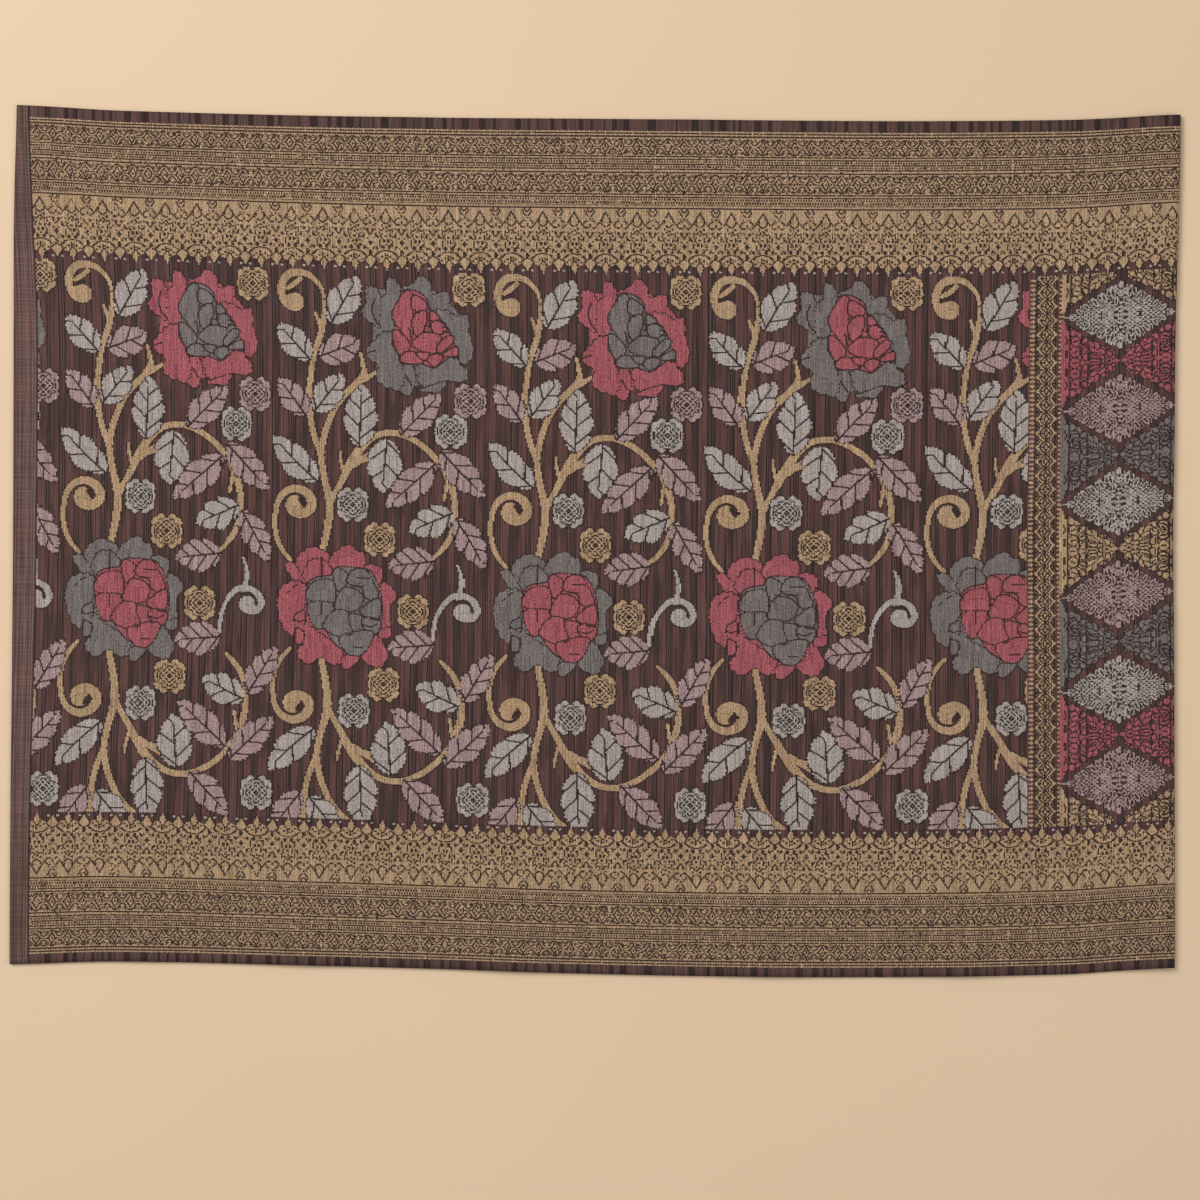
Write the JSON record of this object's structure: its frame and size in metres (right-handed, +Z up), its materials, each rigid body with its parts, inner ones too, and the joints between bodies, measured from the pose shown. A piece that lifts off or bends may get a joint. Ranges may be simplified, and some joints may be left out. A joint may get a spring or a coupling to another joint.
{
  "type": "waist cloth",
  "caption": "Long brocaded waist cloth folded once across its length and laid flat, with flower vines, gold borders and a head panel of diamonds.",
  "frame": {"origin": "under the middle of the folded cloth, on the surface it lies on", "axes": "+X along the folded length towards the fold, +Y across the width, +Z up"},
  "size_m": [1.1076, 0.825, 0.0069],
  "materials": {
    "ground_weave": "fine striped plain weave",
    "gold_yarn": "dull metallic yarn",
    "silver_yarn": "dull metallic yarn",
    "pink_yarn": "soft spun yarn",
    "red_yarn": "soft spun yarn",
    "grey_yarn": "soft spun yarn"
  },
  "bodies": {
    "root": {"cloth": "ground_weave"}
  },
  "joints": []
}
